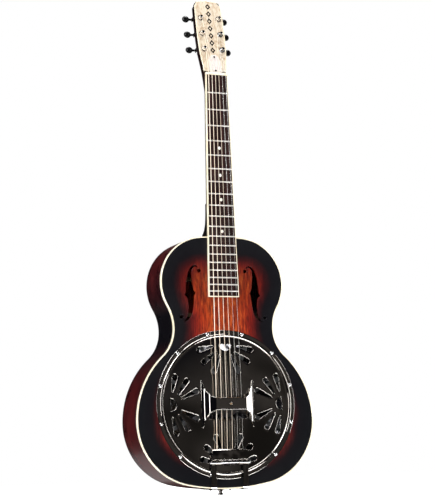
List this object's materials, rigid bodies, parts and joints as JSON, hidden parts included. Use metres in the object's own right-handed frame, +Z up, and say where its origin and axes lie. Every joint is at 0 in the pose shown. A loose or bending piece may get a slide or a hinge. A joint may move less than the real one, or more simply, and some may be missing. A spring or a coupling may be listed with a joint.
{
  "type": "resonator guitar",
  "caption": "Wood-bodied resonator guitar with a metal cone under a domed coverplate, f-shaped sound holes, geared tuners and a wraparound tailpiece.",
  "frame": {"origin": "where the strap button's axis meets the tail, at half the body's depth", "axes": "+Z up the strings to the headstock, -Y out of the top, +X to the treble side"},
  "size_m": [0.3572, 0.113, 0.9677],
  "materials": {
    "sunburst_top": "gloss sunburst lacquer over straight vertical grain",
    "dark_mahogany": "dark wine red gloss lacquer",
    "ivory_plastic": "aged ivory celluloid",
    "inner_wood": "bare plywood and mahogany",
    "spruce": "bare spruce",
    "spun_aluminium": "spun, fine rings",
    "cast_aluminium": "as cast",
    "maple": "bare maple",
    "chrome_plate": "polished plating",
    "bright_steel": "polished",
    "plain_steel": "plain",
    "cover_plastic": "polished cream plastic",
    "rosewood": "oiled open pores",
    "fret_metal": "polished nickel silver",
    "pearl": "mother of pearl",
    "bone": "polished bone",
    "pearloid": "cream pearloid with soft figure",
    "bronze_winding": "wound bronze",
    "string_steel": "plain steel",
    "black_metal": "black nickel plating",
    "black_button": "polished black plastic"
  },
  "bodies": {
    "guitar": {"top_plate": "sunburst_top", "back_plate": "dark_mahogany", "sides": "dark_mahogany", "top_binding": "ivory_plastic", "linings": "inner_wood", "top_brace": "spruce", "back_braces": "spruce", "neck_block": "inner_wood", "tail_block": "inner_wood", "soundwell": "inner_wood", "soundwell_ledge": "inner_wood", "cone": "spun_aluminium", "spider": "cast_aluminium", "saddles": "maple", "coverplate": "chrome_plate", "coverplate_screws": "bright_steel", "palm_rest": "chrome_plate", "tailpiece_bracket": "chrome_plate", "tailpiece_bar": "chrome_plate", "tailpiece_pin": "bright_steel", "tail_screws": "bright_steel", "strap_button": "chrome_plate", "neck": "dark_mahogany", "neck_bolts": "plain_steel", "truss_rod": "plain_steel", "truss_rod_cover": "cover_plastic", "truss_cover_screws": "bright_steel", "fretboard": "rosewood", "fretboard_binding": "ivory_plastic", "frets": "fret_metal", "position_dots": "pearl", "nut": "bone", "headstock_face": "pearloid", "headstock_binding": "ivory_plastic", "wound_strings": "bronze_winding", "plain_strings": "string_steel", "tuner_plates": "black_metal", "tuner_bushings": "bright_steel", "tuner_screws": "black_metal"},
    "tuner_key_1": {"tuner_button_1": "black_button", "tuner_worm_1": "black_metal"},
    "tuner_spindle_1": {"tuner_post_1": "bright_steel"},
    "tuner_key_2": {"tuner_button_2": "black_button", "tuner_worm_2": "black_metal"},
    "tuner_spindle_2": {"tuner_post_2": "bright_steel"},
    "tuner_key_3": {"tuner_button_3": "black_button", "tuner_worm_3": "black_metal"},
    "tuner_spindle_3": {"tuner_post_3": "bright_steel"},
    "tuner_key_4": {"tuner_button_4": "black_button", "tuner_worm_4": "black_metal"},
    "tuner_spindle_4": {"tuner_post_4": "bright_steel"},
    "tuner_key_5": {"tuner_button_5": "black_button", "tuner_worm_5": "black_metal"},
    "tuner_spindle_5": {"tuner_post_5": "bright_steel"},
    "tuner_key_6": {"tuner_button_6": "black_button", "tuner_worm_6": "black_metal"},
    "tuner_spindle_6": {"tuner_post_6": "bright_steel"},
    "truss_nut": {"truss_rod_nut": "plain_steel"},
    "tension": {"tension_screw": "bright_steel"}
  },
  "joints": [
    {"name": "tuner_key_spin_1", "type": "hinge", "parent": "guitar", "child": "tuner_key_1", "pos_m": [0.019, -0.01058, 0.85338], "axis": [1, 0, 0], "continuous": true},
    {"name": "tuner_post_spin_1", "type": "hinge", "parent": "guitar", "child": "tuner_spindle_1", "pos_m": [0.019, -0.03275, 0.85006], "axis": [0, -0.9781, 0.2079], "continuous": true},
    {"name": "tuner_key_spin_2", "type": "hinge", "parent": "guitar", "child": "tuner_key_2", "pos_m": [0.019, -0.00347, 0.88683], "axis": [1, 0, 0], "continuous": true},
    {"name": "tuner_post_spin_2", "type": "hinge", "parent": "guitar", "child": "tuner_spindle_2", "pos_m": [0.019, -0.02564, 0.88352], "axis": [0, -0.9781, 0.2079], "continuous": true},
    {"name": "tuner_key_spin_3", "type": "hinge", "parent": "guitar", "child": "tuner_key_3", "pos_m": [0.019, 0.00364, 0.92028], "axis": [1, 0, 0], "continuous": true},
    {"name": "tuner_post_spin_3", "type": "hinge", "parent": "guitar", "child": "tuner_spindle_3", "pos_m": [0.019, -0.01853, 0.91697], "axis": [0, -0.9781, 0.2079], "continuous": true},
    {"name": "tuner_key_spin_4", "type": "hinge", "parent": "guitar", "child": "tuner_key_4", "pos_m": [-0.019, 0.00364, 0.92028], "axis": [1, 0, 0], "continuous": true},
    {"name": "tuner_post_spin_4", "type": "hinge", "parent": "guitar", "child": "tuner_spindle_4", "pos_m": [-0.019, -0.01853, 0.91697], "axis": [0, -0.9781, 0.2079], "continuous": true},
    {"name": "tuner_key_spin_5", "type": "hinge", "parent": "guitar", "child": "tuner_key_5", "pos_m": [-0.019, -0.00347, 0.88683], "axis": [1, 0, 0], "continuous": true},
    {"name": "tuner_post_spin_5", "type": "hinge", "parent": "guitar", "child": "tuner_spindle_5", "pos_m": [-0.019, -0.02564, 0.88352], "axis": [0, -0.9781, 0.2079], "continuous": true},
    {"name": "tuner_key_spin_6", "type": "hinge", "parent": "guitar", "child": "tuner_key_6", "pos_m": [-0.019, -0.01058, 0.85338], "axis": [1, 0, 0], "continuous": true},
    {"name": "tuner_post_spin_6", "type": "hinge", "parent": "guitar", "child": "tuner_spindle_6", "pos_m": [-0.019, -0.03275, 0.85006], "axis": [0, -0.9781, 0.2079], "continuous": true},
    {"name": "truss_nut_turn", "type": "hinge", "parent": "guitar", "child": "truss_nut", "pos_m": [0, -0.038, 0.8018], "axis": [0, 0, 1], "range_deg": [-180, 180]},
    {"name": "tension_screw_turn", "type": "hinge", "parent": "guitar", "child": "tension", "pos_m": [0, -0.0445, 0.1578], "axis": [0, -1, 0], "range_deg": [-180, 180]}
  ],
  "couplings": [
    {"joint": "tuner_post_spin_1", "follows": "tuner_key_spin_1", "ratio": 0.071429},
    {"joint": "tuner_post_spin_2", "follows": "tuner_key_spin_2", "ratio": 0.071429},
    {"joint": "tuner_post_spin_3", "follows": "tuner_key_spin_3", "ratio": 0.071429},
    {"joint": "tuner_post_spin_4", "follows": "tuner_key_spin_4", "ratio": 0.071429},
    {"joint": "tuner_post_spin_5", "follows": "tuner_key_spin_5", "ratio": 0.071429},
    {"joint": "tuner_post_spin_6", "follows": "tuner_key_spin_6", "ratio": 0.071429}
  ]
}
